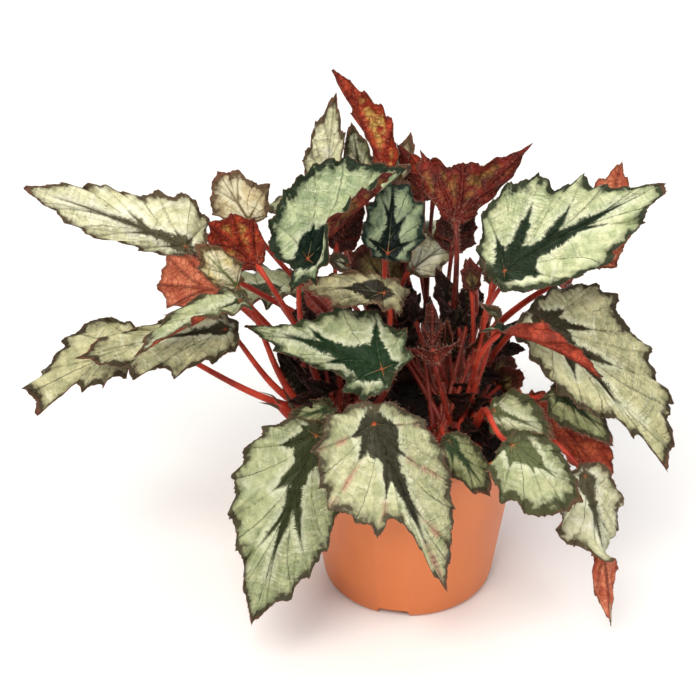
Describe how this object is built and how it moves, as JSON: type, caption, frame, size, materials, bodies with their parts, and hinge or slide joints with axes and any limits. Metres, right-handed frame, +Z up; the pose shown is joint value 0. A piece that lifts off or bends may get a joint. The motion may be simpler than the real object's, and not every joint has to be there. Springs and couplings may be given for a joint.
{
  "type": "potted rex begonia",
  "caption": "Rex begonia with silvery, dark-starred leaves, red undersides and red stalks, in a round terracotta-coloured nursery pot of soil.",
  "frame": {"origin": "centre of the pot's base, on the surface that it stands on", "axes": "+Z up out of the pot, -Y towards the front of the plant that the picture shows, +X to the right seen from the front"},
  "size_m": [0.3268, 0.2262, 0.2698],
  "materials": {
    "pot": "satin",
    "soil": "matte",
    "stalk": "satin",
    "silver_leaf": "satin",
    "red_leaf": "satin",
    "olive_leaf": "satin"
  },
  "bodies": {
    "root": {"pot": "pot", "soil": "soil", "rhizome_left": "stalk", "rhizome_right": "stalk", "rhizome_back": "stalk", "leaf_front": "silver_leaf", "leaf_front_left": "silver_leaf", "leaf_centre": "silver_leaf", "leaf_upper_left": "silver_leaf", "leaf_upper_centre": "silver_leaf", "leaf_mid": "silver_leaf", "leaf_right_high": "silver_leaf", "leaf_right_low": "silver_leaf", "leaf_front_right": "silver_leaf", "leaf_small_right": "silver_leaf", "leaf_red_right": "red_leaf", "leaf_low_front": "olive_leaf", "leaf_low_left": "olive_leaf", "leaf_left_mid": "silver_leaf", "leaf_left_under": "silver_leaf", "leaf_far_left": "silver_leaf", "leaf_red_left": "red_leaf", "leaf_left_high": "silver_leaf", "leaf_back_left": "silver_leaf", "leaf_red_left_high": "red_leaf", "leaf_curled_left": "silver_leaf", "leaf_top": "silver_leaf", "leaf_red_top": "red_leaf", "leaf_top_behind": "olive_leaf", "leaf_top_curled": "silver_leaf", "leaf_red_right_high": "red_leaf", "leaf_mid_back": "silver_leaf", "leaf_young_right": "olive_leaf", "leaf_young_centre": "red_leaf", "leaf_folded_right": "red_leaf", "leaf_low_right": "silver_leaf", "leaf_back_right": "red_leaf", "leaf_behind_left": "silver_leaf", "leaf_behind_low": "silver_leaf", "leaf_behind_middle": "silver_leaf", "leaf_behind_right": "silver_leaf", "leaf_behind_high": "silver_leaf"}
  },
  "joints": []
}
